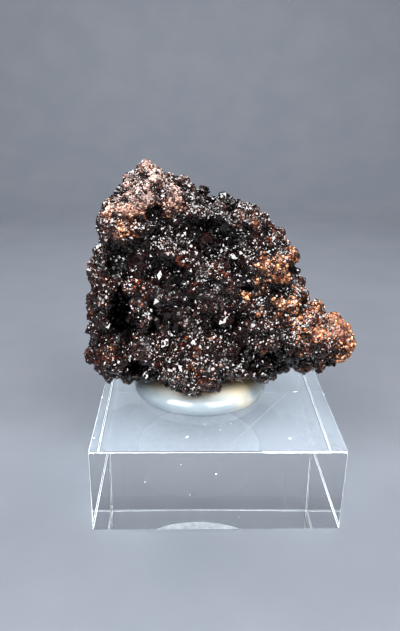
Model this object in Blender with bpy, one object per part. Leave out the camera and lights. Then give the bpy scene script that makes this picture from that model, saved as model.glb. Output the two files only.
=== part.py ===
"""Spessartine garnet specimen on its display stand, modelled in metres with +Z up.

The stone is one mass of garnet crystals grown together. It rests on a milky glass
dish, and the dish rests on a clear block. The origin is the centre of the block's
underside, +X is to the viewer's right and the side that is shown faces -Y.
"""

import math
import random
from typing import NamedTuple

import bmesh
import bpy
import numpy as np
from mathutils import Matrix, Quaternion, Vector

MM = 0.001
REST_GAP = 0.3 * MM

# Clear block
BLOCK_WIDTH = 80 * MM
BLOCK_DEPTH = 80 * MM
BLOCK_HEIGHT = 30 * MM
BLOCK_CHAMFER = 0.5 * MM

# Milky glass dish: a low disc with a rounded shoulder and a shallow hollow on top
DISH_X = -4.8 * MM
DISH_Y = 4.5 * MM
DISH_RADIUS = 24 * MM
DISH_HEIGHT = 6 * MM
DISH_FOOT_ROUNDING = 1.0 * MM
DISH_SHOULDER_WIDTH = 8.0 * MM
DISH_SHOULDER_HEIGHT = 4.8 * MM
DISH_HOLLOW_RADIUS = 15 * MM
DISH_HOLLOW_DEPTH = 1.0 * MM
DISH_SEGMENTS = 36
ROUNDING_STEPS = 3
HOLLOW_STEPS = 2
DISH_SHARP_ANGLE = math.radians(50)

# Colour and roughness of each piece
ACRYLIC_LOOK = ((0.90, 0.94, 0.95), 0.02)
OPAL_LOOK = ((0.78, 0.84, 0.88), 0.12)
GARNET_LOOK = ((0.10, 0.032, 0.022), 0.2)

# Height of the lowest crystals, just clear of the dish
STONE_BASE = BLOCK_HEIGHT + REST_GAP + DISH_HEIGHT + REST_GAP

# Crystals that cover the stone
GROWTH_SEED = 11
SHOWN_SIDE_LIMIT = 0.3
SHOWN_RADII = (3.9 * MM, 4.9 * MM)
SHOWN_SPACING = 5.1 * MM
BACK_RADII = (4.9 * MM, 6.2 * MM)
BACK_SPACING = 7.2 * MM
CRYSTAL_SINK = 0.42
CRYSTAL_STRETCH = 0.12
FLAT_FACE_ANGLE = math.radians(0.5)
SURFACE_SAMPLES = 900
PIT_CLEARANCE = 1.15
BACKWARD_WEIGHT = 0.3
MASS_SUBDIVISIONS = 2
PIT_SUBDIVISIONS = 1
CUTTER_SIZE = 0.2
STONE_TRIANGLES = 8900


class Mass(NamedTuple):
    """A rounded mass that the stone is built on, in millimetres; it leans about Y."""

    name: str
    centre: tuple[float, float, float]
    half_widths: tuple[float, float, float]
    lean: float = 0.0


class Lump(NamedTuple):
    """A large crystal that stands out on the shown side, in millimetres."""

    x: float
    z: float
    radius: float


MASSES = (
    Mass("heart", (-8, 5, 71), (27, 18, 26)),
    Mass("peak", (-25, 4, 95), (8, 10, 15), 14),
    Mass("upper_left", (-29, -1, 91), (9, 12, 10)),
    Mass("left_edge", (-36, 1, 67), (6, 14, 22), 6),
    Mass("left_body", (-29, 6, 66), (13, 13, 23), 4),
    Mass("inner_ridge", (-26, -2, 70), (6, 12, 19)),
    Mass("lower_left", (-34, -4, 48), (9, 12, 8)),
    Mass("lower_lip", (-25, -6, 43), (10, 8, 5)),
    Mass("crest", (-11, 5, 96), (14, 11, 8), 24),
    Mass("upper_slope", (4, 5, 88), (19, 13, 10), 20),
    Mass("right_shoulder", (12, 1, 80), (11, 13, 11)),
    Mass("shoulder_knob", (18, -4, 78), (8, 9, 8)),
    Mass("right_flank", (16, 2, 65), (15, 16, 12)),
    Mass("lobe_root", (20, -5, 55), (15, 13, 12), 8),
    Mass("lobe_back", (32, -4, 56), (11, 10, 9), 14),
    Mass("lobe_tip", (35, -8, 53), (11, 10, 9), 12),
    Mass("keel", (-8, 4, 50), (26, 17, 13)),
    Mass("lower_band", (-12, -7, 49), (19, 11, 9)),
    Mass("nose", (-8, -12, 45), (11, 8, 9)),
    Mass("underside", (8, -2, 46), (21, 14, 8)),
    Mass("lobe_underside", (27, -4, 48), (12, 9, 6)),
    Mass("back_bulge", (-1, 13, 69), (18, 11, 17), -12),
    Mass("back_crest", (-17, 9, 90), (15, 11, 11), 18),
    Mass("back_left", (-27, 12, 58), (12, 9, 12)),
)

LUMPS = (
    Lump(-24, 109, 3.8), Lump(-28, 104, 3.4), Lump(-22, 101, 4.2), Lump(-13, 101, 4.2), Lump(-6, 100, 3.2),
    Lump(-30, 97, 4.6), Lump(-24, 92, 3.2), Lump(-13, 93, 3.4), Lump(0, 95, 3.4), Lump(12, 91, 4.0),
    Lump(-36, 88, 3.2), Lump(-40, 82, 3.0), Lump(-36, 79, 3.6), Lump(-38, 74, 3.6), Lump(-40, 68, 3.2),
    Lump(-37, 62, 4.0), Lump(-40, 55, 3.4), Lump(-39, 49, 5.0), Lump(-26, 83, 4.0), Lump(-27, 73, 4.6),
    Lump(-20, 67, 3.6), Lump(-28, 62, 3.6), Lump(-27, 51, 4.0), Lump(-20, 50, 4.2), Lump(-17, 58, 3.6),
    Lump(-8, 65, 4.0), Lump(-10, 81, 3.4), Lump(-3, 78, 3.6), Lump(-9, 48, 4.6), Lump(-1, 47, 4.2),
    Lump(-1, 55, 3.6), Lump(6, 51, 3.6), Lump(8, 85, 3.4), Lump(17, 87, 3.6), Lump(21, 82, 4.8),
    Lump(16, 80, 3.6), Lump(1, 71, 3.4), Lump(17, 70, 4.0), Lump(26, 65, 4.0), Lump(41, 59, 3.8),
    Lump(42, 54, 3.8), Lump(35, 56, 4.4), Lump(25, 59, 4.6), Lump(11, 60, 3.6), Lump(28, 50, 4.0),
    Lump(-9, 40, 4.0), Lump(16, 45, 3.4),
)

PITS = (
    Mass("side_pit", (-33, -13, 62), (3, 8, 7)),
    Mass("upper_pit", (-33, -11, 81), (2.5, 6, 5)),
    Mass("lower_pit", (-28, -14, 44), (3, 7, 3)),
)


def clear_scene():
    """Remove every object that the scene starts with."""
    for item in list(bpy.data.objects):
        bpy.data.objects.remove(item)


def link_object(name, shape):
    """Turn a bmesh into an object with outward faces, and link it to the scene."""
    bmesh.ops.recalc_face_normals(shape, faces=shape.faces)
    mesh = bpy.data.meshes.new(name)
    shape.to_mesh(mesh)
    shape.free()
    piece = bpy.data.objects.new(name, mesh)
    bpy.context.scene.collection.objects.link(piece)
    return piece


def dress(piece, colour, roughness, transmission=0.0, ior=1.5):
    """Give a piece its own material."""
    material = bpy.data.materials.new(piece.name)
    material.use_nodes = True
    shader = material.node_tree.nodes["Principled BSDF"]
    shader.inputs["Base Color"].default_value = (*colour, 1)
    shader.inputs["Roughness"].default_value = roughness
    shader.inputs["Metallic"].default_value = 0
    shader.inputs["Transmission Weight"].default_value = transmission
    shader.inputs["IOR"].default_value = ior
    piece.data.materials.clear()
    piece.data.materials.append(material)


def make_block():
    """The clear square block, with a thin polished chamfer on every edge."""
    shape = bmesh.new()
    size = Vector((BLOCK_WIDTH, BLOCK_DEPTH, BLOCK_HEIGHT))
    middle = Matrix.Translation((0, 0, BLOCK_HEIGHT / 2))
    bmesh.ops.create_cube(shape, size=1, matrix=middle @ Matrix.Diagonal((*size, 1)))
    bmesh.ops.bevel(shape, geom=shape.edges[:], offset=BLOCK_CHAMFER, segments=1, affect="EDGES")
    block = link_object("clear_block", shape)
    dress(block, *ACRYLIC_LOOK, transmission=1.0, ior=1.49)
    return block


def quarter_round(centre_height, width, height, start_angle):
    """Points of an oval quarter turn on the dish's outline, going up its outer side."""
    points = []
    for step in range(ROUNDING_STEPS + 1):
        angle = start_angle + math.pi / 2 * step / ROUNDING_STEPS
        reach = DISH_RADIUS - width + width * math.cos(angle)
        points.append((reach, centre_height + height * math.sin(angle)))
    return points


def dish_outline():
    """Half outline of the dish as (radius, height) pairs, from its base to its hollow."""
    foot = quarter_round(DISH_FOOT_ROUNDING, DISH_FOOT_ROUNDING, DISH_FOOT_ROUNDING, -math.pi / 2)
    shoulder_start = DISH_HEIGHT - DISH_SHOULDER_HEIGHT
    shoulder = quarter_round(shoulder_start, DISH_SHOULDER_WIDTH, DISH_SHOULDER_HEIGHT, 0)
    hollow = []
    for step in range(HOLLOW_STEPS):
        share = 1 - step / HOLLOW_STEPS
        hollow.append((DISH_HOLLOW_RADIUS * share, DISH_HEIGHT - DISH_HOLLOW_DEPTH * (1 - share * share)))
    return foot + shoulder + hollow


def turned_ring(shape, radius, height):
    """One ring of vertices around the Z axis."""
    ring = []
    for step in range(DISH_SEGMENTS):
        angle = math.tau * step / DISH_SEGMENTS
        ring.append(shape.verts.new((radius * math.cos(angle), radius * math.sin(angle), height)))
    return ring


def close_with_fan(shape, ring, height):
    """Close a ring with triangles that meet on the axis."""
    hub = shape.verts.new((0, 0, height))
    for first, second in zip(ring, ring[1:] + ring[:1]):
        shape.faces.new((first, second, hub))


def make_dish():
    """The milky glass dish, turned from its outline."""
    shape = bmesh.new()
    rings = [turned_ring(shape, radius, height) for radius, height in dish_outline()]
    for lower, upper in zip(rings, rings[1:]):
        for step in range(DISH_SEGMENTS):
            after = (step + 1) % DISH_SEGMENTS
            shape.faces.new((lower[step], lower[after], upper[after], upper[step]))
    close_with_fan(shape, rings[0], 0)
    close_with_fan(shape, rings[-1], DISH_HEIGHT - DISH_HOLLOW_DEPTH)
    dish = link_object("opal_dish", shape)
    dish.location = (DISH_X, DISH_Y, BLOCK_HEIGHT + REST_GAP)
    dish.data.shade_smooth()
    dish.data.set_sharp_from_angle(angle=DISH_SHARP_ANGLE)
    dress(dish, *OPAL_LOOK, transmission=0.25, ior=1.5)
    return dish


def mass_matrix(mass):
    """Turn the unit sphere into a mass."""
    place = Matrix.Translation(Vector(mass.centre) * MM)
    lean = Matrix.Rotation(math.radians(mass.lean), 4, "Y")
    return place @ lean @ Matrix.Diagonal((*(half * MM for half in mass.half_widths), 1))


def is_inside(point, masses, swell=1.0):
    """Say whether a point lies in any of the masses, each swollen by a factor."""
    return any((mass_matrix(mass).inverted() @ point).length < swell for mass in masses)


def surface_normal(mass, point):
    """Outward direction of a mass's surface at a point on it."""
    inverse = mass_matrix(mass).inverted()
    return (inverse.to_3x3().transposed() @ (inverse @ point)).normalized()


def sphere_directions(count):
    """Directions spread evenly over the unit sphere, along a spiral."""
    golden_angle = math.pi * (3 - math.sqrt(5))
    for step in range(count):
        height = 1 - 2 * (step + 0.5) / count
        reach = math.sqrt(1 - height * height)
        turn = golden_angle * step
        yield Vector((reach * math.cos(turn), reach * math.sin(turn), height))


def growth_sites():
    """Points on the outside of the joined masses, each with its outward direction."""
    sites = []
    for mass in MASSES:
        others = [other for other in MASSES if other is not mass]
        for direction in sphere_directions(SURFACE_SAMPLES):
            point = mass_matrix(mass) @ direction
            if not is_inside(point, others) and not is_inside(point, PITS, PIT_CLEARANCE):
                sites.append((point, surface_normal(mass, point)))
    return sites


def lump_site(lump, sites):
    """The site on the shown side that lies nearest to a lump's x and z."""
    def distance(site):
        point = site[0]
        aside = math.hypot(point.x - lump.x * MM, point.z - lump.z * MM)
        return aside + max(0.0, point.y) * BACKWARD_WEIGHT
    return min(sites, key=distance)


def random_turn(chance):
    """A rotation drawn evenly over all orientations."""
    first, second, third = chance.random(), chance.random(), chance.random()
    return Quaternion((
        math.sqrt(1 - first) * math.sin(math.tau * second),
        math.sqrt(1 - first) * math.cos(math.tau * second),
        math.sqrt(first) * math.sin(math.tau * third),
        math.sqrt(first) * math.cos(math.tau * third),
    )).to_matrix()


def dodecahedron_points(radius):
    """Corners of a rhombic dodecahedron, the common form of a garnet crystal."""
    signs = (-1, 1)
    cube = [Vector((x, y, z)) * radius / 2 for x in signs for y in signs for z in signs]
    tips = [Vector(axis) * sign * radius for axis in Matrix.Identity(3) for sign in signs]
    return cube + tips


def add_crystal(shape, site, radius, chance):
    """Add one crystal to a bmesh, partly sunk in the surface that it grows from."""
    point, outward = site
    stretch = Matrix.Diagonal([1 + chance.uniform(-CRYSTAL_STRETCH, CRYSTAL_STRETCH) for _ in range(3)])
    form = random_turn(chance) @ stretch
    centre = point - outward * radius * CRYSTAL_SINK
    corners = [shape.verts.new(centre + form @ corner) for corner in dodecahedron_points(radius)]
    hull = bmesh.ops.convex_hull(shape, input=corners)
    faces = [item for item in hull["geom"] if isinstance(item, bmesh.types.BMFace)]
    edges = {edge for face in faces for edge in face.edges}
    bmesh.ops.dissolve_limit(shape, angle_limit=FLAT_FACE_ANGLE, verts=corners, edges=list(edges))


def planned_crystals(sites, chance):
    """Choose where crystals grow: the large lumps first, then always the widest gap."""
    crystals = [(lump_site(lump, sites), lump.radius * MM) for lump in LUMPS]
    places = np.array([point for point, _ in sites])
    is_shown = np.array([outward.y < SHOWN_SIDE_LIMIT for _, outward in sites])
    spacing = np.where(is_shown, SHOWN_SPACING, BACK_SPACING)
    gaps = np.full(len(sites), np.inf)
    for site, _ in crystals:
        gaps = np.minimum(gaps, np.linalg.norm(places - np.array(site[0]), axis=1) / spacing)
    while gaps.max() > 1:
        widest = int(gaps.argmax())
        radii = SHOWN_RADII if is_shown[widest] else BACK_RADII
        crystals.append((sites[widest], chance.uniform(*radii)))
        gaps = np.minimum(gaps, np.linalg.norm(places - places[widest], axis=1) / spacing)
    return crystals


def make_crystals():
    """All the crystals of the stone in one mesh, still overlapping."""
    chance = random.Random(GROWTH_SEED)
    shape = bmesh.new()
    for site, radius in planned_crystals(growth_sites(), chance):
        add_crystal(shape, site, radius, chance)
    return link_object("crystals", shape)


def make_masses(name, masses, subdivisions):
    """Rounded masses in one mesh, still overlapping."""
    shape = bmesh.new()
    for mass in masses:
        bmesh.ops.create_icosphere(shape, subdivisions=subdivisions, radius=1, matrix=mass_matrix(mass))
    return link_object(name, shape)


def make_rest_cutter():
    """A box below the height where the stone rests."""
    shape = bmesh.new()
    box = Matrix.Translation((0, 0, STONE_BASE - CUTTER_SIZE / 2))
    bmesh.ops.create_cube(shape, size=CUTTER_SIZE, matrix=box)
    return link_object("rest_cutter", shape)


def combine(piece, tool, operation):
    """Join a tool to a piece, or cut it away, and delete the tool."""
    modifier = piece.modifiers.new(tool.name, "BOOLEAN")
    modifier.operation = operation
    modifier.solver = "EXACT"
    modifier.use_self = True
    modifier.object = tool
    depsgraph = bpy.context.evaluated_depsgraph_get()
    result = bpy.data.meshes.new_from_object(piece.evaluated_get(depsgraph))
    piece.modifiers.clear()
    piece.data = result
    bpy.data.objects.remove(tool)


def linked_faces(start):
    """All faces that can be reached from one face over shared edges."""
    reached = {start}
    waiting = [start]
    while waiting:
        for edge in waiting.pop().edges:
            for face in edge.link_faces:
                if face not in reached:
                    reached.add(face)
                    waiting.append(face)
    return reached


def keep_outer_skin(piece):
    """Delete the small closed spaces that crystals shut in between them."""
    shape = bmesh.new()
    shape.from_mesh(piece.data)
    remaining = set(shape.faces)
    skins = []
    while remaining:
        skin = linked_faces(next(iter(remaining)))
        remaining -= skin
        skins.append(skin)
    outer = max(skins, key=len)
    inner = [face for face in shape.faces if face not in outer]
    bmesh.ops.delete(shape, geom=inner, context="FACES")
    bmesh.ops.triangulate(shape, faces=shape.faces)
    shape.to_mesh(piece.data)
    shape.free()


def make_stone():
    """The garnet stone: rounded masses, pits and crystals joined in one solid."""
    stone = make_masses("garnet_specimen", MASSES, MASS_SUBDIVISIONS)
    combine(stone, make_crystals(), "UNION")
    combine(stone, make_masses("pits", PITS, PIT_SUBDIVISIONS), "DIFFERENCE")
    combine(stone, make_rest_cutter(), "DIFFERENCE")
    keep_outer_skin(stone)
    thin = stone.modifiers.new("thin", "DECIMATE")
    thin.ratio = min(1.0, STONE_TRIANGLES / len(stone.data.polygons))
    dress(stone, *GARNET_LOOK, ior=1.8)
    return stone


def main():
    """Build the block, the dish on it and the stone on top."""
    clear_scene()
    make_block()
    make_dish()
    make_stone()


main()
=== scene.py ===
"""The looks of a spessartine garnet specimen on a milky glass dish and a clear block.

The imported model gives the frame: the stone, the dish and the block at their real sizes.
Around it this script grows the stone's druse of small crystals, turns a smooth dish,
gives every surface its finish, and sets up a plain studio with the photograph's camera.
"""

import itertools
import logging
import math
import random
from dataclasses import dataclass
from enum import Enum
from typing import Any

import bmesh
import bpy
import numpy as np
from mathutils import Matrix, Vector


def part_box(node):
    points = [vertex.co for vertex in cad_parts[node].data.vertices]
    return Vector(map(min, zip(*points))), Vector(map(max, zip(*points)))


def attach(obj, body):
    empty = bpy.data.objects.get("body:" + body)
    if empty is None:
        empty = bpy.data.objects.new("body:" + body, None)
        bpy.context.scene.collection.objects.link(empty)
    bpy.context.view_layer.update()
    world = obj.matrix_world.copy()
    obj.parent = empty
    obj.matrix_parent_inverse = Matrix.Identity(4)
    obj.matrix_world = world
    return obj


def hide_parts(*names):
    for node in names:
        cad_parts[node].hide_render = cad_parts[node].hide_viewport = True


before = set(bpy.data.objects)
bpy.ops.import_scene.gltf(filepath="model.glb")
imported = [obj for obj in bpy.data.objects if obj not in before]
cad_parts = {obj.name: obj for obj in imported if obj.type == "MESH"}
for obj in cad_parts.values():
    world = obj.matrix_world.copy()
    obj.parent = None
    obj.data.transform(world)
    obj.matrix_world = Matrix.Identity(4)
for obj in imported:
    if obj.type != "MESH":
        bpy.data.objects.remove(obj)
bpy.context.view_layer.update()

MM = 0.001
WELD = 0.01 * MM
BODY = "root"
LOG = logging.getLogger("garnet")

Colour = tuple[float, float, float]
Place = tuple[float, float, float]
Span = tuple[float, float]
Noise = tuple[float, float, float]
Stops = tuple[tuple[float, Colour], ...]
Socket = bpy.types.NodeSocket
Object = bpy.types.Object
Mesh = bpy.types.Mesh

SMEAR: Noise = (12 * MM, 3, 0.6)
SMEAR_SPAN: Span = (0.48, 0.7)
STREAK: Noise = (4 * MM, 3, 0.6)
STREAK_SPAN: Span = (0.4, 0.65)
ZONE_EDGE = 1.5
SEED_STEP = 10
GEOMETRY = "GeometryNodeTree"
MESH_SOCKET = {"Mesh": "NodeSocketGeometry"}


class CrystalForm(Enum):
    """The closed forms that garnet crystals take."""

    DODECAHEDRON = "rhombic dodecahedron"
    TRAPEZOHEDRON = "trapezohedron"


@dataclass(frozen=True)
class Zone:
    """A rounded part of the stone where something acts on it.

    Attributes:
        centre: Its middle, in millimetres.
        half_widths: How far it reaches along each axis, in millimetres.
        strength: How strongly it acts at its middle.
    """

    centre: Place
    half_widths: Place
    strength: float

    def weights(self, points: np.ndarray) -> np.ndarray:
        """How strongly each point belongs to the zone.

        Args:
            points: Positions in metres, one row each.

        Returns:
            A weight for each point, falling smoothly from the strength to zero.
        """
        reach = np.linalg.norm((points / MM - self.centre) / self.half_widths, axis=1)
        fall = np.clip(ZONE_EDGE - reach, 0, 1)
        return self.strength * fall * fall * (3 - 2 * fall)


@dataclass(frozen=True)
class Weights:
    """How much each cause counts in a sum: its scale and its shift."""

    tint: Span
    grain: Span
    patch: Span
    prominence: Span


class Graph:
    """A node tree, with short ways to add and join its nodes."""

    def __init__(self, tree: bpy.types.NodeTree) -> None:
        """Start from a tree and remember it."""
        self.tree = tree

    def add(self, kind: str, inputs: dict[Any, Any] | None = None, **settings: Any) -> bpy.types.Node:
        """Add a node.

        Args:
            kind: The node's type name.
            inputs: Values or sockets for its inputs, by name or number.
            **settings: Properties of the node itself.

        Returns:
            The new node.
        """
        node = self.tree.nodes.new(kind)
        for name, value in settings.items():
            setattr(node, name, value)
        for name, value in (inputs or {}).items():
            self.feed(value, node.inputs[name])
        return node

    def feed(self, value: Any, socket: Socket) -> None:
        """Link a socket to another, or set its value."""
        if isinstance(value, Socket):
            self.tree.links.new(value, socket)
        else:
            socket.default_value = value

    def math(self, operation: str, first: Any, second: Any = 0.0, third: Any = 0.0) -> Socket:
        """The result of one sum on numbers or sockets."""
        return self.add("ShaderNodeMath", {0: first, 1: second, 2: third}, operation=operation).outputs[0]

    def vector(self, operation: str, first: Any, second: Any = (0.0, 0.0, 0.0)) -> Socket:
        """The result of one sum on vectors."""
        return self.add("ShaderNodeVectorMath", {0: first, 1: second}, operation=operation).outputs[0]

    def scaled(self, vector: Any, scale: Any) -> Socket:
        """A vector made longer or shorter by a number."""
        return self.add("ShaderNodeVectorMath", {0: vector, "Scale": scale}, operation="SCALE").outputs[0]

    def remap(self, value: Any, low: float, high: float, new_low: float = 0, new_high: float = 1) -> Any:
        """A value brought smoothly from one range to another."""
        ends = {"Value": value, 1: low, 2: high, 3: new_low, 4: new_high}
        return self.add("ShaderNodeMapRange", ends, interpolation_type="SMOOTHSTEP").outputs[0]

    def blend(self, factor: Any, first: Any, second: Any, how: str = "MIX") -> Socket:
        """Two colours mixed by a factor."""
        node = self.add("ShaderNodeMix", data_type="RGBA", blend_type=how)
        for value, place in ((factor, 0), (first, 6), (second, 7)):
            self.feed((*value, 1) if isinstance(value, tuple) else value, node.inputs[place])
        return node.outputs[2]

    def ramp(self, factor: Any, stops: Stops) -> Socket:
        """A colour picked along a row of stops."""
        node = self.add("ShaderNodeValToRGB", {"Fac": factor})
        elements = node.color_ramp.elements
        while len(elements) < len(stops):
            elements.new(0.5)
        for element, (place, colour) in zip(elements, stops):
            element.position = place
            element.color = (*colour, 1)
        return node.outputs[0]

    def speckle(self, place: Any, size: float, detail: float, rough: float) -> Socket:
        """Noise of a given grain, from the place on the object."""
        values = {"Vector": place, "Scale": 1 / size, "Detail": detail, "Roughness": rough}
        return self.add("ShaderNodeTexNoise", values).outputs["Fac"]

    def weigh(self, causes: dict[str, Any], weights: Weights) -> Any:
        """The sum of some causes, each scaled and shifted by its weights."""
        total = 0.0
        for name, value in causes.items():
            part = self.math("MULTIPLY_ADD", value, *getattr(weights, name))
            total = self.math("ADD", total, part)
        return total

    def cells(self, place: Any, size: Any) -> bpy.types.Node:
        """Irregular cells of a given size, from the place on the object."""
        return self.add("ShaderNodeTexVoronoi", {"Vector": place, "Scale": self.math("DIVIDE", 1, size)})

    def attribute(self, name: str) -> Socket:
        """A number stored on the mesh, for a material to read."""
        return self.add("ShaderNodeAttribute", attribute_name=name).outputs["Fac"]

    def place(self) -> Socket:
        """The place on the object, for a material to read."""
        return self.add("ShaderNodeTexCoord").outputs["Object"]


def start_group(
    name: str, kind: str, inputs: dict[str, str], outputs: dict[str, str]
) -> tuple[Graph, Any, Any]:
    """Start a node group.

    Args:
        name: The group's name.
        kind: The type of its tree.
        inputs: Socket types by input name.
        outputs: Socket types by output name.

    Returns:
        The group's graph, its input sockets and its output node's sockets.
    """
    tree = bpy.data.node_groups.new(name, kind)
    for way, sockets in (("INPUT", inputs), ("OUTPUT", outputs)):
        for label, socket in sockets.items():
            tree.interface.new_socket(label, in_out=way, socket_type=socket)
    graph = Graph(tree)
    return graph, graph.add("NodeGroupInput").outputs, graph.add("NodeGroupOutput").inputs


def start_material(name: str) -> tuple[bpy.types.Material, Graph, bpy.types.Node]:
    """A new material, its graph and its Principled shader."""
    material = bpy.data.materials.new(name)
    material.use_nodes = True
    return material, Graph(material.node_tree), material.node_tree.nodes["Principled BSDF"]


def handling_wear() -> bpy.types.NodeTree:
    """A group for the smudges that handling leaves on polished pieces."""
    existing = bpy.data.node_groups.get("handling_wear")
    if existing:
        return existing
    number, vector = "NodeSocketFloat", "NodeSocketVector"
    inputs = {"Place": vector, "Polish": number, "Smudge": number}
    outputs = {"Roughness": number}
    graph, given, result = start_group("handling_wear", "ShaderNodeTree", inputs, outputs)
    smear = graph.remap(graph.speckle(given["Place"], *SMEAR), *SMEAR_SPAN)
    streak = graph.remap(graph.speckle(given["Place"], *STREAK), *STREAK_SPAN)
    smudge = graph.math("MULTIPLY", graph.math("MULTIPLY", smear, streak), given["Smudge"])
    graph.feed(graph.math("ADD", given["Polish"], smudge), result["Roughness"])
    return graph.tree


def smudged(graph: Graph, place: Any, polish: float, smudge: float) -> Socket:
    """The roughness of a polished piece with smudges on it."""
    values = {"Place": place, "Polish": polish, "Smudge": smudge}
    return graph.add("ShaderNodeGroup", values, node_tree=handling_wear()).outputs["Roughness"]


@dataclass(frozen=True)
class GarnetFinish:
    """Glossy crystal faces from near black to red brown, tan and rough where weathered.

    Where the stone is weathered, its faces run from dark red brown to tan, redder in blotches
    that are partly the garnet's own red and partly painted glow of light through it, and paler
    towards the peak, partly its own colour and partly painted highlight where light falls on the
    top. A face's brightness comes from its crystal's tint, two sizes of noise and how far it
    stands out, so faces that stand back are darker: painted shade in the crevices. Fine cells
    tilt the faces, like growth steps.
    """

    name: str
    ior: float = 1.8
    gloss: float = 0.08
    satin: float = 0.3
    satin_span: Span = (0.48, 0.62)
    satin_shift: Place = (0.0, 0.05, 0.0)
    dull: float = 0.4
    dull_span: Span = (0.1, 0.7)
    step_size: float = 0.6 * MM
    step_tilt: float = 0.10
    grain: Noise = (1.0 * MM, 5, 0.75)
    patch: Noise = (5 * MM, 3, 0.55)
    blotch: Noise = (6 * MM, 2, 0.5)
    # The prominence weight darkens faces that stand back: painted shade in the crevices.
    brightness: Weights = Weights((0.4, 0.0), (2.2, -0.92), (0.6, -0.3), (0.12, 0.0))
    rustiness: Weights = Weights((0.45, -0.22), (0.8, -0.4), (1.1, -0.72), (0.12, 0.0))
    rust_span: Span = (0.1, 0.5)
    # Redder blotches: partly the garnet's own red, partly painted glow of light through the crystals.
    ruddy_span: Span = (0.5, 0.62)
    ruddy_shift: Place = (0.05, 0.0, 0.0)
    exposed_at: float = 0.5
    sheltered_change: float = -0.26
    exposed_change: float = -0.02
    # Paler towards the peak: partly the stone's own colour, partly painted highlight where light falls on
    # the top.
    pale_highlight_from: float = 90 * MM
    pale_highlight_over: float = 12 * MM
    pale_highlight_share: float = 0.75
    fresh: Stops = (
        (0.0, (0.003, 0.002, 0.002)),
        (0.45, (0.012, 0.004, 0.003)),
        (0.75, (0.055, 0.014, 0.008)),
        (1.0, (0.20, 0.055, 0.022)),
    )
    weathered: Stops = (
        (0.16, (0.006, 0.003, 0.002)),
        (0.36, (0.085, 0.022, 0.009)),
        (0.58, (0.35, 0.138, 0.050)),
        (0.88, (0.85, 0.56, 0.33)),
    )
    # Partly the garnet's own red, partly painted glow of light through the crystals.
    ember: Stops = (
        (0.2, (0.008, 0.003, 0.002)),
        (0.5, (0.12, 0.024, 0.008)),
        (0.9, (0.50, 0.17, 0.055)),
    )
    # Pale grey pink: partly the peak's colour, partly painted highlight standing in for glints.
    pale_and_highlight: Stops = (
        (0.12, (0.006, 0.004, 0.004)),
        (0.36, (0.080, 0.042, 0.035)),
        (0.60, (0.30, 0.20, 0.18)),
        (0.95, (0.74, 0.60, 0.56)),
    )

    def make(self) -> bpy.types.Material:
        """Build the material."""
        material, graph, shader = start_material(self.name)
        place = graph.place()
        weathering = graph.attribute("weathering")
        causes = {
            "tint": graph.attribute("tint"),
            "grain": graph.speckle(place, *self.grain),
            "patch": graph.speckle(place, *self.patch),
            "prominence": graph.attribute("prominence"),
        }
        # Faces that stand back come out darker here: painted shade.
        bright = graph.weigh(causes, self.brightness)
        # Below zero, weathering lowers the rust share: painted shade in the hollows.
        rust = graph.math("ADD", weathering, graph.weigh(causes, self.rustiness))
        worn = self.worn_colour(graph, place, bright, weathering)
        share = graph.remap(rust, *self.rust_span)
        colour = graph.blend(share, graph.ramp(bright, self.fresh), worn)
        graph.feed(colour, shader.inputs["Base Color"])
        graph.feed(self.roughness(graph, place, rust), shader.inputs["Roughness"])
        graph.feed(self.stepped_normal(graph, place), shader.inputs["Normal"])
        shader.inputs["IOR"].default_value = self.ior
        return material

    def worn_colour(self, graph: Graph, place: Any, bright: Any, weathering: Any) -> Any:
        """The colour of weathered faces.

        Args:
            graph: The material's graph.
            place: The place on the stone.
            bright: How bright the face is.
            weathering: How weathered the stone is there; below zero, painted shade.

        Returns:
            The socket that gives the colour.
        """
        changes = (self.sheltered_change, self.exposed_change)
        tone = graph.math("ADD", bright, graph.remap(weathering, 0.0, self.exposed_at, *changes))
        # Redder blotches: partly the garnet's colour, partly painted glow of light through it.
        blotch = graph.speckle(graph.vector("ADD", place, self.ruddy_shift), *self.blotch)
        ruddy = graph.remap(blotch, *self.ruddy_span)
        worn = graph.blend(ruddy, graph.ramp(tone, self.weathered), graph.ramp(tone, self.ember))
        # Paler with height: partly the stone's colour, partly painted highlight on the top.
        level = graph.add("ShaderNodeSeparateXYZ", {0: place}).outputs["Z"]
        pale_highlight_to = self.pale_highlight_from + self.pale_highlight_over
        pale = graph.remap(level, self.pale_highlight_from, pale_highlight_to, 0, self.pale_highlight_share)
        return graph.blend(pale, worn, graph.ramp(tone, self.pale_and_highlight))

    def roughness(self, graph: Graph, place: Any, rust: Any) -> Socket:
        """How rough the faces are: glossy, satin in blotches and dull where rusty."""
        blotch = graph.speckle(graph.vector("ADD", place, self.satin_shift), *self.blotch)
        shine = graph.remap(blotch, *self.satin_span, self.gloss, self.satin)
        return graph.math("MAXIMUM", graph.remap(rust, *self.dull_span, 0, self.dull), shine)

    def stepped_normal(self, graph: Graph, place: Any) -> Socket:
        """The faces' direction, tilted a little in cells like growth steps."""
        cell = graph.cells(place, self.step_size).outputs["Color"]
        tilt = graph.scaled(graph.vector("SUBTRACT", cell, (0.5, 0.5, 0.5)), self.step_tilt * 2)
        normal = graph.add("ShaderNodeNewGeometry").outputs["Normal"]
        return graph.vector("NORMALIZE", graph.vector("ADD", normal, tilt))


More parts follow.
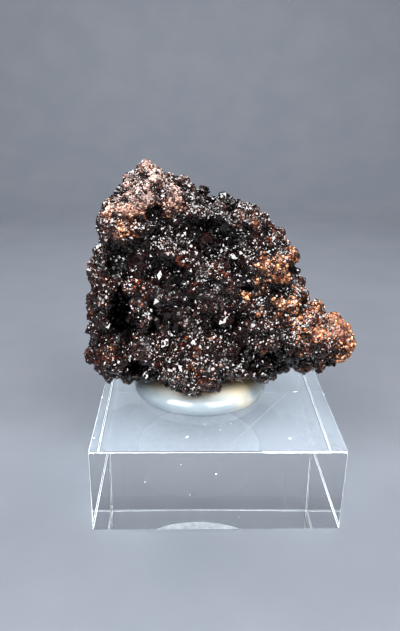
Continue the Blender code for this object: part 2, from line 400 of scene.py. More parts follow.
@dataclass(frozen=True)
class OpalFinish:
    """Milky glass: bluish at its rim, cream in the middle and yellow to one side.

    The cream middle is brightened as painted glow where the stone shades the dish, and the
    yellow side is painted glow of light passing through the glass.
    """

    name: str
    centre: Place
    radius: float
    rim: Colour = (0.27, 0.315, 0.345)
    # Cream is partly painted glow, brightened where the stone shades the dish; glow is painted light
    # through the glass.
    cream: Colour = (0.64, 0.605, 0.54)
    glow: Colour = (0.64, 0.57, 0.44)
    cloud: Noise = (12 * MM, 3, 0.5)
    cream_span: Span = (1.0, 0.74)
    cream_cloud: Span = (0.2, 0.6)
    cream_share: Span = (0.7, 1.0)
    yellow_side: Place = (15 * MM, -14 * MM, 0.0)
    yellow_span: Span = (11 * MM, 2 * MM)
    yellow_cloud: Span = (0.35, 0.6)
    polish: float = 0.06
    smudge: float = 0.12
    milkiness: float = 0.9
    scatter: Colour = (1.0, 0.9, 0.75)
    scatter_depth: float = 11 * MM
    ior: float = 1.47

    def make(self) -> bpy.types.Material:
        """Build the material."""
        material, graph, shader = start_material(self.name)
        place = graph.place()
        shifted = graph.vector("SUBTRACT", place, self.centre)
        flat = graph.vector("MULTIPLY", shifted, (1, 1, 0))
        reach = graph.add("ShaderNodeVectorMath", {0: flat}, operation="LENGTH").outputs["Value"]
        # Brighter cream towards the middle: partly painted glow under the stone's shade.
        inward = graph.remap(graph.math("DIVIDE", reach, self.radius), *self.cream_span)
        cloud = graph.speckle(place, *self.cloud)
        thick = graph.remap(cloud, *self.cream_cloud, *self.cream_share)
        body = graph.blend(graph.math("MULTIPLY", inward, thick), self.rim, self.cream)
        # Painted glow of light passing through the glass, to one side.
        side = graph.add("ShaderNodeVectorMath", {0: flat, 1: self.yellow_side}, operation="DISTANCE")
        near = graph.remap(side.outputs["Value"], *self.yellow_span)
        warm = graph.math("MULTIPLY", near, graph.remap(cloud, *self.yellow_cloud))
        graph.feed(graph.blend(warm, body, self.glow), shader.inputs["Base Color"])
        roughness = smudged(graph, place, self.polish, self.smudge)
        graph.feed(roughness, shader.inputs["Roughness"])
        shader.inputs["Subsurface Weight"].default_value = self.milkiness
        shader.inputs["Subsurface Radius"].default_value = self.scatter
        shader.inputs["Subsurface Scale"].default_value = self.scatter_depth
        shader.inputs["IOR"].default_value = self.ior
        return material


@dataclass(frozen=True)
class AcrylicFinish:
    """Clear polished acrylic that lets light from lamps through."""

    name: str
    half_height: float
    ior: float = 1.49
    polish: float = 0.0
    smudge: float = 0.05
    tone: Noise = (30 * MM, 2, 0.5)
    tone_span: Span = (0.3, 0.7)
    deep: Colour = (0.965, 0.985, 0.99)
    pale: Colour = (0.985, 0.995, 0.995)
    shadow: Colour = (0.93, 0.96, 0.97)

    def make(self) -> bpy.types.Material:
        """Build the material."""
        material, graph, shader = start_material(self.name)
        place = graph.vector("SUBTRACT", graph.place(), (0, 0, self.half_height))
        roughness = smudged(graph, place, self.polish, self.smudge)
        graph.feed(roughness, shader.inputs["Roughness"])
        tone = graph.remap(graph.speckle(place, *self.tone), *self.tone_span)
        graph.feed(graph.blend(tone, self.deep, self.pale), shader.inputs["Base Color"])
        shader.inputs["Transmission Weight"].default_value = 1.0
        shader.inputs["IOR"].default_value = self.ior
        lamp_ray = graph.add("ShaderNodeLightPath").outputs["Is Shadow Ray"]
        clear = graph.add("ShaderNodeBsdfTransparent", {"Color": (*self.shadow, 1)})
        mix = graph.add("ShaderNodeMixShader", {0: lamp_ray, 1: shader.outputs[0], 2: clear.outputs[0]})
        graph.feed(mix.outputs[0], material.node_tree.nodes["Material Output"].inputs["Surface"])
        return material


@dataclass(frozen=True)
class PlainFinish:
    """A matt surface with a faint mottle, for the floor and for crumbs."""

    name: str
    light: Colour
    dark: Colour
    grain: float
    roughness: float
    grain_detail: Span = (4, 0.6)
    mottle_span: Span = (0.3, 0.7)

    def make(self) -> bpy.types.Material:
        """Build the material."""
        material, graph, shader = start_material(self.name)
        grain = graph.speckle(graph.place(), self.grain, *self.grain_detail)
        mottle = graph.remap(grain, *self.mottle_span)
        graph.feed(graph.blend(mottle, self.dark, self.light), shader.inputs["Base Color"])
        shader.inputs["Roughness"].default_value = self.roughness
        return material


def link(name: str, data: bpy.types.ID) -> Object:
    """Put a mesh, a lamp or a camera in the scene as an object at the origin."""
    piece = bpy.data.objects.new(name, data)
    bpy.context.scene.collection.objects.link(piece)
    return piece


def link_shape(name: str, shape: bmesh.types.BMesh) -> Object:
    """Put a bmesh in the scene as an object whose faces point outwards."""
    bmesh.ops.recalc_face_normals(shape, faces=shape.faces)
    mesh = bpy.data.meshes.new(name)
    shape.to_mesh(mesh)
    shape.free()
    return link(name, mesh)


def turned(outline: list[Span], segments: int) -> bmesh.types.BMesh:
    """Turn a half outline once round the upright axis.

    Args:
        outline: Its radii and heights, in order.
        segments: How many steps the turn has.

    Returns:
        The shape, its doubles merged.
    """
    shape = bmesh.new()
    points = [shape.verts.new((reach, 0, rise)) for reach, rise in outline]
    line = [shape.edges.new(pair) for pair in zip(points, points[1:])]
    turn = {"axis": (0, 0, 1), "cent": (0, 0, 0), "angle": math.tau, "steps": segments}
    bmesh.ops.spin(shape, geom=points + line, **turn)
    bmesh.ops.remove_doubles(shape, verts=shape.verts, dist=WELD)
    return shape


def bake_modifiers(piece: Object) -> None:
    """Replace a piece's mesh with what its modifiers make of it, and remove them."""
    depsgraph = bpy.context.evaluated_depsgraph_get()
    result = bpy.data.meshes.new_from_object(piece.evaluated_get(depsgraph))
    piece.modifiers.clear()
    old, piece.data = piece.data, result
    bpy.data.meshes.remove(old)


def run_tree(piece: Object, tree: bpy.types.NodeTree, values: dict[str, Any]) -> None:
    """Run a geometry tree on a piece and keep its result as the piece's plain mesh.

    Args:
        piece: The piece to change.
        tree: The tree to run.
        values: The tree's input values, by name.
    """
    modifier = piece.modifiers.new(tree.name, "NODES")
    modifier.node_group = tree
    for item in tree.interface.items_tree:
        if item.in_out == "INPUT" and item.name in values:
            modifier[item.identifier] = values[item.name]
    bake_modifiers(piece)


def store(mesh: Mesh, name: str, values: np.ndarray) -> None:
    """Keep a number on every vertex of a mesh."""
    attribute = mesh.attributes.new(name, "FLOAT", "POINT")
    attribute.data.foreach_set("value", values.astype(np.float32))


def vertex_places(mesh: Mesh) -> np.ndarray:
    """The mesh's vertex positions, one row each."""
    places = np.empty(len(mesh.vertices) * 3)
    mesh.vertices.foreach_get("co", places)
    return places.reshape(-1, 3)


def vertex_normals(mesh: Mesh) -> np.ndarray:
    """The mesh's outward directions at its vertices, one row each."""
    normals = np.empty(len(mesh.vertices) * 3)
    mesh.vertex_normals.foreach_get("vector", normals)
    return normals.reshape(-1, 3)


@dataclass
class CrystalCutter:
    """Makes the small closed crystals that the druse repeats."""

    corner_swell: float = 1.1

    def corners(self, form: CrystalForm) -> list[Vector]:
        """Corners of a form whose four-fold tips lie on the axes, one unit out.

        Args:
            form: The crystal's form.

        Returns:
            The corners, in no order.
        """
        signs = (-1, 1)
        tips = [Vector(axis) * sign for axis in Matrix.Identity(3) for sign in signs]
        cube = [Vector(place) / 2 for place in itertools.product(signs, repeat=3)]
        if form is CrystalForm.DODECAHEDRON:
            return tips + cube
        grid = itertools.product((-1, 0, 1), repeat=3)
        edges = [Vector(place) * 2 / 3 for place in grid if place.count(0) == 1]
        return tips + [corner * self.corner_swell for corner in cube] + edges

    def cut(self, form: CrystalForm) -> Object:
        """Build one crystal of unit size.

        Args:
            form: The crystal's form.

        Returns:
            An object that growth can repeat.
        """
        shape = bmesh.new()
        corners = [shape.verts.new(corner) for corner in self.corners(form)]
        bmesh.ops.convex_hull(shape, input=corners)
        return link_shape(form.value, shape)


@dataclass
class Relief:
    """Rounded nodules raised on the stone's matrix by Geometry Nodes."""

    size: float
    depth: float
    sink: float
    shift: Place = (0.0, 0.0, 0.0)

    def tree(self) -> bpy.types.NodeTree:
        """The node tree that raises nodules, built once."""
        existing = bpy.data.node_groups.get("nodule_relief")
        if existing:
            return existing
        inputs = {label: "NodeSocketFloat" for label in ("Size", "Depth", "Sink")}
        inputs = {**MESH_SOCKET, **inputs, "Shift": "NodeSocketVector"}
        graph, given, result = start_group("nodule_relief", GEOMETRY, inputs, MESH_SOCKET)
        place = graph.vector("ADD", graph.add("GeometryNodeInputPosition").outputs[0], given["Shift"])
        reach = graph.cells(place, given["Size"]).outputs["Distance"]
        dome = graph.math("SUBTRACT", 1, graph.math("MULTIPLY", reach, reach))
        lift = graph.math("SUBTRACT", graph.math("MULTIPLY", dome, given["Depth"]), given["Sink"])
        offset = graph.scaled(graph.add("GeometryNodeInputNormal").outputs[0], lift)
        raised = graph.add("GeometryNodeSetPosition", {"Geometry": given["Mesh"], "Offset": offset})
        graph.feed(raised.outputs[0], result["Mesh"])
        return graph.tree

    def press(self, piece: Object) -> None:
        """Raise the nodules on a piece."""
        values = {"Size": self.size, "Depth": self.depth, "Sink": self.sink, "Shift": self.shift}
        run_tree(piece, self.tree(), values)


@dataclass
class Growth:
    """One generation of crystals, grown by Geometry Nodes over the stone's matrix.

    Sizes go from a crystal's middle to its tips, before stretching. The higher the skew, the
    more crystals are small. Rise and shrink are shares of the size: how far a crystal stands
    out, and what full weathering leaves of it. Crystals in one patch are parallel but for the
    scatter, in radians. Each band, a stretch of the stone from left to right, gives one
    piece. Density is the most crystals on a square metre.
    """

    name: str
    form: CrystalForm
    spacing: float
    smallest: float
    largest: float
    rise: float
    seed: int
    shrink: float = 0.7
    brightest: float = 1.0
    scatter: float = 0.14
    patch: float = 5.8 * MM
    bands: tuple[Span, ...] = ((-1.0, 1.0),)
    least_stretch: Place = (0.65, 0.65, 0.65)
    most_stretch: Place = (1.4, 1.4, 1.4)
    skew: float = 1.6
    density: float = 5e6

    def inputs(self) -> dict[str, str]:
        """The tree's inputs, as socket types by name."""
        sizes = ("Spacing", "Smallest", "Largest", "Rise", "Shrink", "Patch")
        numbers = (*sizes, "Brightest", "Scatter", "From", "To", "Foot")
        others = {"Seed": "NodeSocketInt", "Crystal": "NodeSocketObject", "Finish": "NodeSocketMaterial"}
        return {**{label: "NodeSocketFloat" for label in numbers}, **others}

    def tree(self) -> bpy.types.NodeTree:
        """The node tree that every generation shares, built once."""
        existing = bpy.data.node_groups.get("crystal_growth")
        if existing:
            return existing
        inputs = {**MESH_SOCKET, **self.inputs()}
        graph, given, result = start_group("crystal_growth", GEOMETRY, inputs, MESH_SOCKET)
        points, normal = self.sites(graph, given)
        size = self.size(graph, given)
        lift = graph.scaled(normal, graph.math("MULTIPLY", size, given["Rise"]))
        points = graph.add("GeometryNodeSetPosition", {"Geometry": points, "Offset": lift}).outputs[0]
        limits = (self.least_stretch, self.most_stretch)
        stretch = self.chance(graph, given["Seed"], 4, "FLOAT_VECTOR", *limits)
        crystal = graph.add("GeometryNodeObjectInfo", {"Object": given["Crystal"]})
        growth = {
            "Points": points,
            "Instance": crystal.outputs["Geometry"],
            "Rotation": self.turn(graph, given),
            "Scale": graph.scaled(stretch, size),
        }
        grown = graph.add("GeometryNodeInstanceOnPoints", growth).outputs[0]
        tone = self.chance(graph, given["Seed"], 3, "FLOAT", 0.0, given["Brightest"])
        tint = {"Geometry": grown, "Name": "tint", "Value": tone}
        kind = {"data_type": "FLOAT", "domain": "INSTANCE"}
        grown = graph.add("GeometryNodeStoreNamedAttribute", tint, **kind).outputs[0]
        grown = graph.add("GeometryNodeRealizeInstances", {"Geometry": grown}).outputs[0]
        dressed = {"Geometry": grown, "Material": given["Finish"]}
        graph.feed(graph.add("GeometryNodeSetMaterial", dressed).outputs[0], result["Mesh"])
        return graph.tree

    def sites(self, graph: Graph, given: Any) -> tuple[Socket, Socket]:
        """Spread the crystals' places evenly, inside one band and above the foot.

        Args:
            graph: The tree being filled.
            given: The tree's input sockets.

        Returns:
            The places, and the surface's normal at each.
        """
        values = {
            "Mesh": given["Mesh"],
            "Distance Min": given["Spacing"],
            "Density Max": self.density,
            "Seed": given["Seed"],
        }
        spread = graph.add("GeometryNodeDistributePointsOnFaces", values, distribute_method="POISSON")
        place = graph.add("GeometryNodeInputPosition").outputs[0]
        axes = graph.add("ShaderNodeSeparateXYZ", {0: place}).outputs
        before = graph.math("LESS_THAN", axes["X"], given["From"])
        beyond = graph.math("GREATER_THAN", axes["X"], given["To"])
        below = graph.math("LESS_THAN", axes["Z"], given["Foot"])
        unwanted = graph.math("MAXIMUM", graph.math("MAXIMUM", before, beyond), below)
        choice = {"Geometry": spread.outputs["Points"], "Selection": unwanted}
        kept = graph.add("GeometryNodeDeleteGeometry", choice)
        return kept.outputs[0], spread.outputs["Normal"]

    def size(self, graph: Graph, given: Any) -> Socket:
        """Each crystal's size: most are small, and weathered ones are smaller."""
        draw = self.chance(graph, given["Seed"], 2, "FLOAT", 0.0, 1.0)
        reach = graph.math("SUBTRACT", given["Largest"], given["Smallest"])
        share = graph.math("POWER", draw, self.skew)
        size = graph.math("MULTIPLY_ADD", share, reach, given["Smallest"])
        stored = {"Name": "weathering"}
        worn = graph.add("GeometryNodeInputNamedAttribute", stored, data_type="FLOAT").outputs[0]
        fine = graph.math("MULTIPLY_ADD", worn, graph.math("SUBTRACT", given["Shrink"], 1), 1)
        return graph.math("MULTIPLY", size, fine)

    def turn(self, graph: Graph, given: Any) -> Socket:
        """Each crystal's turn: nearly parallel inside a patch, and free from patch to patch."""
        patch = graph.cells(graph.add("GeometryNodeInputPosition").outputs[0], given["Patch"])
        loose = self.chance(graph, given["Seed"], 1, "FLOAT_VECTOR", (-1, -1, -1), (1, 1, 1))
        shared = graph.scaled(patch.outputs["Color"], math.tau)
        return graph.vector("ADD", shared, graph.scaled(loose, given["Scatter"]))

    def chance(self, graph: Graph, seed: Any, step: int, kind: str, low: Any, high: Any) -> Socket:
        """A random value for each crystal.

        Args:
            graph: The tree being filled.
            seed: The generation's seed.
            step: A number that keeps this draw apart from the others.
            kind: The value's data type.
            low: Its least value.
            high: Its greatest value.

        Returns:
            The socket that gives the value.
        """
        node = graph.add("FunctionNodeRandomValue", data_type=kind)
        first = {"FLOAT_VECTOR": 0, "FLOAT": 2}[kind]
        graph.feed(low, node.inputs[first])
        graph.feed(high, node.inputs[first + 1])
        graph.feed(graph.math("MULTIPLY_ADD", seed, SEED_STEP, step), node.inputs["Seed"])
        return next(socket for socket in node.outputs if socket.enabled)

    def grow(
        self, matrix: Object, foot: float, crystal: Object, finish: bpy.types.Material
    ) -> list[Object]:
        """Grow this generation over the matrix.

        Args:
            matrix: The stone's base, with its weathering stored on it.
            foot: The height below which nothing grows.
            crystal: The crystal to repeat.
            finish: The crystals' material.

        Returns:
            One plain mesh object for each band.
        """
        own = [label for label in self.inputs() if hasattr(self, label.lower())]
        pieces = []
        for number, (low, high) in enumerate(self.bands, 1):
            name = f"{self.name}_{number}" if len(self.bands) > 1 else self.name
            piece = link(name, matrix.data.copy())
            values = {label: getattr(self, label.lower()) for label in own}
            values.update({"From": low, "To": high, "Foot": foot, "Crystal": crystal, "Finish": finish})
            run_tree(piece, self.tree(), values)
            pieces.append(piece)
        return pieces


@dataclass
class Stone:
    """The garnet stone: a rough matrix with generations of crystals grown over it."""

    node: str = "garnet_specimen"
    slot: str = "garnet"
    voxel: float = 0.7 * MM
    smoothing_rounds: int = 5
    prominence_rounds: int = 70
    prominence_reach: float = 0.9 * MM
    prominence_limit: float = 1.2
    weathering_and_shade_limits: Span = (-0.5, 1.0)
    matrix_tint: float = 0.3
    solid_weld: float = 0.001 * MM
    foot_clearance: float = 0.6 * MM
    reliefs: tuple[Relief, ...] = (
        Relief(6.2 * MM, 3.6 * MM, 2.95 * MM, (0.0141, 0.0074, 0.0163)),
        Relief(2.1 * MM, 0.6 * MM, 0.45 * MM, (0.01, 0.02, 0.03)),
    )
    hollows: tuple[Zone, ...] = (
        Zone((-2, -12, 88), (11, 14, 6), 5.2),
        Zone((41, -8, 45), (5, 14, 4), 2.0),
        Zone((-15, -12, 76), (8, 12, 5), 3.2),
        Zone((16, -16, 48), (10, 10, 4), 3.5),
        Zone((24, 0, 92), (6, 20, 4), 2.5),
        Zone((3, 0, 102), (13, 20, 7), 1.4),
        Zone((-31, 0, 109), (4, 16, 4), 1.8),
        Zone((-33, -12, 80), (3.5, 10, 5), 2.5),
        Zone((-31, -12, 62), (3.5, 10, 9), 3.0),
        Zone((-28, -14, 44), (4, 10, 3), 2.0),
        Zone((22, -12, 72), (3.5, 8, 5), 1.5),
    )
    # Weathering zones; those of negative strength are painted shade in hollows and under the lobe.
    weathered: tuple[Zone, ...] = (
        Zone((46, -8, 54), (9, 14, 10), 0.62),
        Zone((33, -8, 61), (14, 16, 6), 0.55),
        Zone((37, -8, 46), (11, 14, 5), 0.3),
        Zone((-24, -2, 108), (10, 14, 7), 0.5),
        Zone((-30, -8, 97), (7, 12, 7), 0.5),
        Zone((-15, -8, 100), (10, 12, 6), 0.5),
        Zone((19, -8, 81), (8, 12, 8), 0.42),
        Zone((17, -8, 70), (11, 12, 6), 0.5),
        Zone((12, 4, 95), (8, 14, 4), 0.25),
        Zone((-3, -10, 45), (20, 12, 4), 0.12),
        # Painted shade: these three zones darken the colour in the hollows and under the lobe.
        Zone((-2, -12, 88), (10, 14, 6), -0.35),
        Zone((-15, -12, 76), (8, 12, 5), -0.2),
        Zone((18, -14, 46), (11, 12, 4), -0.3),
        Zone((-25, -14, 71), (4, 8, 4), 0.2),
        Zone((0, 26, 66), (40, 12, 30), 0.15),
    )
    generations: tuple[Growth, ...] = (
        Growth(
            "garnet_crystals_large", CrystalForm.DODECAHEDRON, spacing=4.0 * MM,
            smallest=1.2 * MM, largest=2.2 * MM, rise=-0.5, seed=3, shrink=0.4, brightest=0.1,
        ),
        Growth(
            "garnet_crystals_broad", CrystalForm.TRAPEZOHEDRON, spacing=2.6 * MM,
            smallest=0.9 * MM, largest=1.5 * MM, rise=-0.4, seed=4, shrink=0.45, brightest=0.4,
        ),
        Growth(
            "garnet_crystals_medium", CrystalForm.DODECAHEDRON, spacing=1.5 * MM,
            smallest=0.7 * MM, largest=1.2 * MM, rise=-0.25, seed=5, shrink=0.55,
        ),
        Growth(
            "garnet_crystals_fine", CrystalForm.DODECAHEDRON, spacing=0.95 * MM,
            smallest=0.38 * MM, largest=0.7 * MM, rise=0.0, seed=8,
            bands=((-1.0, -20 * MM), (-20 * MM, 5 * MM), (5 * MM, 1.0)),
        ),
    )

    def matrix(self) -> Object:
        """The stone's base: the solid remeshed, rounded, hollowed and given nodules."""
        shape = bmesh.new()
        shape.from_mesh(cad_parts[self.node].data)
        bmesh.ops.remove_doubles(shape, verts=shape.verts, dist=self.solid_weld)
        piece = link_shape("garnet_matrix", shape)
        remesh = piece.modifiers.new("remesh", "REMESH")
        remesh.mode = "VOXEL"
        remesh.voxel_size = self.voxel
        soften = piece.modifiers.new("soften", "SMOOTH")
        soften.iterations = self.smoothing_rounds
        bake_modifiers(piece)
        self.sink(piece.data)
        for relief in self.reliefs:
            relief.press(piece)
        self.mark(piece.data)
        return piece

    def sink(self, mesh: Mesh) -> None:
        """Push the hollows inwards, each by its strength in millimetres."""
        places = vertex_places(mesh)
        depth = sum(zone.weights(places) for zone in self.hollows) * MM
        mesh.vertices.foreach_set("co", (places - vertex_normals(mesh) * depth[:, None]).ravel())
        mesh.update()

    def prominence(self, mesh: Mesh) -> np.ndarray:
        """How far each vertex stands out from its smoothed surroundings, as a share of the reach."""
        places = vertex_places(mesh)
        edges = np.empty(len(mesh.edges) * 2, dtype=np.int64)
        mesh.edges.foreach_get("vertices", edges)
        first, second = edges[0::2], edges[1::2]
        count = np.bincount(edges, minlength=len(places))[:, None]
        soft = places
        for _ in range(self.prominence_rounds):
            total = np.zeros_like(soft)
            for axis in range(3):
                total[:, axis] = np.bincount(first, soft[second, axis], len(places))
                total[:, axis] += np.bincount(second, soft[first, axis], len(places))
            soft = total / count
        rise = np.einsum("ij,ij->i", places - soft, vertex_normals(mesh)) / self.prominence_reach
        return np.minimum(rise, self.prominence_limit)

    def mark(self, mesh: Mesh) -> None:
        """Store each vertex's prominence, its weathering with painted shade below zero, and a middling
        tint.
        """
        places = vertex_places(mesh)
        weathering = sum(zone.weights(places) for zone in self.weathered)
        store(mesh, "prominence", self.prominence(mesh))
        store(mesh, "weathering", np.clip(weathering, *self.weathering_and_shade_limits))
        store(mesh, "tint", np.full(len(places), self.matrix_tint))

    def build(self) -> list[Object]:
        """Build and dress the stone.

        Returns:
            Its pieces, the matrix first.
        """
        finish = GarnetFinish("garnet").make()
        matrix = self.matrix()
        matrix.data.materials.clear()
        matrix.data.materials.append(finish)
        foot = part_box(self.node)[0].z + self.foot_clearance
        cutter = CrystalCutter()
        crystals = {form: cutter.cut(form) for form in CrystalForm}
        pieces = [matrix]
        for generation in self.generations:
            pieces += generation.grow(matrix, foot, crystals[generation.form], finish)
        for crystal in crystals.values():
            bpy.data.objects.remove(crystal)
        for piece in pieces:
            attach(piece, BODY)
        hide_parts(self.node)
        return pieces


@dataclass
class Dish:
    """The low milky glass dish that carries the stone."""

    node: str = "opal_dish"
    slot: str = "opal_glass"
    contact_depth: float = 0.35 * MM
    film: float = 0.04 * MM
    base_ring: float = 0.5
    foot_rounding: float = 0.5 * MM
    shoulder_width: float = 8.0 * MM
    shoulder_height: float = 4.8 * MM
    hollow_radius: float = 15 * MM
    hollow_depth: float = 1.0 * MM
    segments: int = 160
    rounding_steps: int = 12

    def outline(self, radius: float, height: float) -> list[Span]:
        """Half outline as radius and height, from the base up and in to the hollow.

        Args:
            radius: The dish's radius.
            height: Its height above its base.

        Returns:
            Points in order, the last one on the axis.
        """
        points = [(0.0, 0.0), (radius * self.base_ring, 0.0)]
        for step in range(self.rounding_steps + 1):
            angle = -math.pi / 2 + math.pi / 2 * step / self.rounding_steps
            reach = radius - self.foot_rounding + self.foot_rounding * math.cos(angle)
            points.append((reach, self.foot_rounding + self.foot_rounding * math.sin(angle)))
        for step in range(self.rounding_steps + 1):
            angle = math.pi / 2 * step / self.rounding_steps
            reach = radius - self.shoulder_width + self.shoulder_width * math.cos(angle)
            rise = height - self.shoulder_height + self.shoulder_height * math.sin(angle)
            points.append((reach, rise))
        for step in range(self.rounding_steps):
            share = 1 - step / self.rounding_steps
            rise = height - self.hollow_depth * (1 - share * share)
            points.append((self.hollow_radius * share, rise))
        points.append((0.0, height - self.hollow_depth))
        return points

    def ground_foot(self, centre: Vector, radius: float) -> Object:
        """The white, roughly ground face under the dish, a thin film against the block."""
        shape = bmesh.new()
        place = Matrix.Translation(centre - Vector((0, 0, self.film)))
        size = {"radius1": radius, "radius2": radius, "depth": self.film}
        bmesh.ops.create_cone(shape, cap_ends=True, segments=self.segments, matrix=place, **size)
        piece = link_shape("opal_dish_ground_foot", shape)
        finish = PlainFinish("ground_foot", (0.98, 0.99, 0.99), (0.62, 0.66, 0.70), 1.4 * MM, 0.6)
        piece.data.materials.append(finish.make())
        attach(piece, BODY)
        return piece

    def build(self) -> list[Object]:
        """Turn the dish, dress it and grind its foot."""
        low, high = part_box(self.node)
        centre = Vector(((low.x + high.x) / 2, (low.y + high.y) / 2, low.z - self.contact_depth))
        radius = (high.x - low.x) / 2
        shape = turned(self.outline(radius, high.z - centre.z), self.segments)
        bmesh.ops.translate(shape, verts=shape.verts, vec=centre)
        piece = link_shape("opal_dish_glass", shape)
        piece.data.shade_smooth()
        piece.data.materials.append(OpalFinish("opal_glass", tuple(centre), radius).make())
        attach(piece, BODY)
        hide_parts(self.node)
        return [piece, self.ground_foot(centre, radius - self.foot_rounding)]


@dataclass
class Block:
    """The clear square block under the dish."""

    node: str = "clear_block"
    slot: str = "clear_acrylic"
    chamfer: float = 0.5 * MM
    edge_highlight_width: float = 0.13 * MM
    edge_highlight_thickness: float = 0.04 * MM
    crumbs: tuple[tuple[Place, float], ...] = (
        ((-9.7, -31.7, 30), 0.6), ((22.9, -32.6, 30), 0.45), ((-39.0, -32.1, 30), 0.3),
        ((1.0, -27.7, 30), 0.25), ((-3.8, -24.1, 30), 0.2), ((4.8, -24.1, 30), 0.22),
        ((-11.6, -40, 25.6), 0.2), ((-0.7, -40, 22.0), 0.4), ((-22.7, -40, 19.1), 0.2),
        ((-8.7, -40, 14.1), 0.18), ((12, 33, 30), 0.4), ((-26, 24, 30), 0.3),
    )
    crumb_length: Span = (0.8, 1.3)
    crumb_width: float = 0.7
    crumb_height: float = 0.5
    crumb_jolt: float = 0.2
    crumb_seed: int = 4
    scratch: tuple[Place, Place] = ((4.0, -35.6, 30.0), (26.1, -4.3, 30.0))
    scratch_width: float = 0.022 * MM
    scratch_height: float = 0.022 * MM / 3

    def edge_highlight_film(self, low: Vector, high: Vector) -> Object:
        """A white film just under the skin of the block's twelve chamfers: painted highlight for the
        light its edges catch.

        Args:
            low: The block's lowest corner.
            high: The block's highest corner.

        Returns:
            The film, as one object of thin bars.
        """
        middle, half = (low + high) / 2, (high - low) / 2
        shape = bmesh.new()
        for along, first, second in ((0, 1, 2), (1, 2, 0), (2, 0, 1)):
            for signs in itertools.product((-1, 1), repeat=2):
                outward, place, run = Vector(), Vector(), Vector()
                run[along] = 1
                for axis, sign in zip((first, second), signs):
                    outward[axis] = sign
                    place[axis] = sign * (half[axis] - self.chamfer / 2)
                outward.normalize()
                place += middle - outward * self.edge_highlight_thickness
                turn = Matrix((run, outward.cross(run), outward)).transposed().to_4x4()
                length = 2 * (half[along] - self.chamfer)
                size = Matrix.Diagonal((length, self.edge_highlight_width, self.edge_highlight_thickness, 1))
                bmesh.ops.create_cube(shape, size=1, matrix=Matrix.Translation(place) @ turn @ size)
        # A white film that paints the highlights along the block's edges.
        finish = PlainFinish("edge_highlights", (0.90, 0.93, 0.94), (0.78, 0.83, 0.86), 8 * MM, 0.35)
        return self.finished("clear_block_ground_edges", shape, finish)

    def dirt(self) -> Object:
        """White crumbs on the block, and one hairline scratch across its top."""
        chance = random.Random(self.crumb_seed)
        shape = bmesh.new()
        for centre, radius in self.crumbs:
            size = radius * MM
            place = Matrix.Translation(Vector(centre) * MM)
            place = place @ Matrix.Rotation(chance.uniform(0, math.pi), 4, "Z")
            length = size * chance.uniform(*self.crumb_length)
            sides = (length, size * self.crumb_width, size * self.crumb_height, 1)
            place = place @ Matrix.Diagonal(sides)
            crumb = bmesh.ops.create_icosphere(shape, subdivisions=1, radius=1, matrix=place)
            for corner in crumb["verts"]:
                jolt = [chance.uniform(-self.crumb_jolt, self.crumb_jolt) for _ in range(3)]
                corner.co += Vector(jolt) * size
        start, end = (Vector(place) * MM for place in self.scratch)
        turn = Matrix.Rotation(math.atan2(end.y - start.y, end.x - start.x), 4, "Z")
        size = Matrix.Diagonal(((end - start).length, self.scratch_width, self.scratch_height, 1))
        bmesh.ops.create_cube(shape, size=1, matrix=Matrix.Translation((start + end) / 2) @ turn @ size)
        finish = PlainFinish("crumbs", (0.80, 0.82, 0.82), (0.55, 0.56, 0.56), 0.3 * MM, 0.6)
        return self.finished("clear_block_crumbs", shape, finish)

    def finished(self, name: str, shape: bmesh.types.BMesh, finish: PlainFinish) -> Object:
        """Turn a bmesh into a dressed piece that rides with the block."""
        piece = link_shape(name, shape)
        piece.data.materials.append(finish.make())
        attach(piece, BODY)
        return piece

    def build(self) -> list[Object]:
        """Dress the block's own solid and line its edges with painted highlight."""
        low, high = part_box(self.node)
        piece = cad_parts[self.node]
        piece.data.materials.clear()
        finish = AcrylicFinish("clear_acrylic", (high.z - low.z) / 2)
        piece.data.materials.append(finish.make())
        return [piece, self.edge_highlight_film(low, high), self.dirt()]


@dataclass(frozen=True)
class SoftBox:
    """A rectangular studio lamp that faces the stone from a compass direction."""

    name: str
    azimuth: float
    elevation: float
    width: float
    height: float
    radiance: float
    distance: float = 0.5
    colour: Colour = (1.0, 1.0, 1.0)

    def build(self, target: Vector) -> Object:
        """Hang the lamp and turn it to a point.

        Args:
            target: The point that it faces.

        Returns:
            The lamp.
        """
        light = bpy.data.lights.new(self.name, "AREA")
        light.shape = "RECTANGLE"
        light.size, light.size_y = self.width, self.height
        light.energy = self.radiance * math.pi * self.width * self.height
        light.color = self.colour
        turn, rise = math.radians(self.azimuth), math.radians(self.elevation)
        level = math.cos(rise)
        out = Vector((math.sin(turn) * level, -math.cos(turn) * level, math.sin(rise)))
        lamp = link(self.name, light)
        lamp.location = target + out * self.distance
        lamp.rotation_euler = out.to_track_quat("Z", "Y").to_euler()
        return lamp


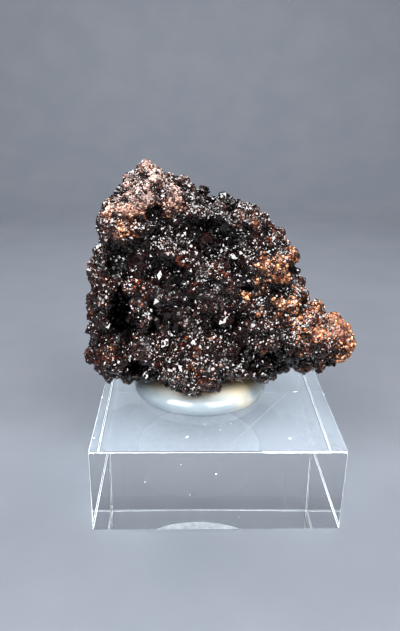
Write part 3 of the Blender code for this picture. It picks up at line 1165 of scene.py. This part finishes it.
@dataclass
class Studio:
    """A plain pale cove, soft lamps and the photograph's camera."""

    focal_pixels: float = 609.3
    picture_height: int = 631
    sensor: float = 36.0
    nearest: float = 0.01
    camera_place: Place = (-11.03 * MM, -195.80 * MM, 139.02 * MM)
    turn: float = 1.698
    tilt: float = 22.304
    roll: float = -0.856
    floor_drop: float = 0.2 * MM
    floor_radius: float = 0.42
    bend_radius: float = 0.25
    bend_steps: int = 16
    wall_height: float = 0.8
    segments: int = 96
    room_colour: Colour = (0.80, 0.88, 1.0)
    room_strength: float = 0.15
    exposure: float = 0.3
    gamma: float = 0.8
    lamps: tuple[SoftBox, ...] = (
        SoftBox("left_front", -43, 42, 0.30, 0.34, 11.0),
        SoftBox("right_front", 38, 42, 0.30, 0.34, 11.0),
        SoftBox("left_back", -135, 45, 0.24, 0.24, 7.0),
        SoftBox("right_back", 135, 45, 0.24, 0.24, 7.0),
        SoftBox("ceiling", -10, 74, 0.24, 0.24, 9.0),
    )
    backdrop: SoftBox = SoftBox("backdrop", 0, 35, 0.5, 0.12, 9.0, 0.3)
    backdrop_height: float = 0.32

    def cove(self) -> Object:
        """The cove: a flat round floor that curves up into a wall all round."""
        outline = [(0.0, 0.0), (self.floor_radius, 0.0)]
        for step in range(1, self.bend_steps + 1):
            angle = math.pi / 2 * step / self.bend_steps
            reach = self.floor_radius + self.bend_radius * math.sin(angle)
            outline.append((reach, self.bend_radius * (1 - math.cos(angle))))
        outline.append((self.floor_radius + self.bend_radius, self.wall_height))
        outline = [(reach, rise - self.floor_drop) for reach, rise in outline]
        piece = link_shape("floor", turned(outline, self.segments))
        piece.data.shade_smooth()
        finish = PlainFinish("floor", (0.135, 0.145, 0.165), (0.125, 0.137, 0.157), 0.04, 0.7)
        piece.data.materials.append(finish.make())
        return piece

    def camera(self) -> Object:
        """The camera, at the photograph's viewing angle."""
        lens = bpy.data.cameras.new("camera")
        lens.sensor_width = self.sensor
        lens.lens = self.focal_pixels / self.picture_height * self.sensor
        lens.clip_start = self.nearest
        camera = link("camera", lens)
        aim = Matrix.Rotation(math.radians(-self.turn), 4, "Z")
        aim = aim @ Matrix.Rotation(math.radians(90 - self.tilt), 4, "X")
        aim = aim @ Matrix.Rotation(math.radians(-self.roll), 4, "Z")
        camera.matrix_world = Matrix.Translation(self.camera_place) @ aim
        bpy.context.scene.camera = camera
        return camera

    def build(self, target: Vector) -> None:
        """Set up the cove, the lamps, the room's light and the camera."""
        world = bpy.data.worlds.new("room")
        world.use_nodes = True
        room = world.node_tree.nodes["Background"]
        room.inputs["Color"].default_value = (*self.room_colour, 1)
        room.inputs["Strength"].default_value = self.room_strength
        scene = bpy.context.scene
        scene.world = world
        scene.view_settings.view_transform = "Standard"
        scene.view_settings.exposure = self.exposure
        scene.view_settings.gamma = self.gamma
        self.cove()
        self.camera()
        for lamp in self.lamps:
            lamp.build(target)
        self.backdrop.build(Vector((0, self.floor_radius + self.bend_radius, self.backdrop_height)))


def report(piece: Object) -> None:
    """Log a piece's name and its number of triangles."""
    piece.data.calc_loop_triangles()
    LOG.info("%s: %d triangles", piece.name, len(piece.data.loop_triangles))


def main() -> None:
    """Build the stone, the dish, the block and the studio, and report each piece."""
    logging.basicConfig(level=logging.INFO, format="%(name)s %(message)s")
    low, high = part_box("garnet_specimen")
    for piece in Stone().build():
        report(piece)
    for piece in Dish().build() + Block().build():
        report(piece)
    Studio().build((low + high) / 2)


if __name__ == "__main__":
    main()
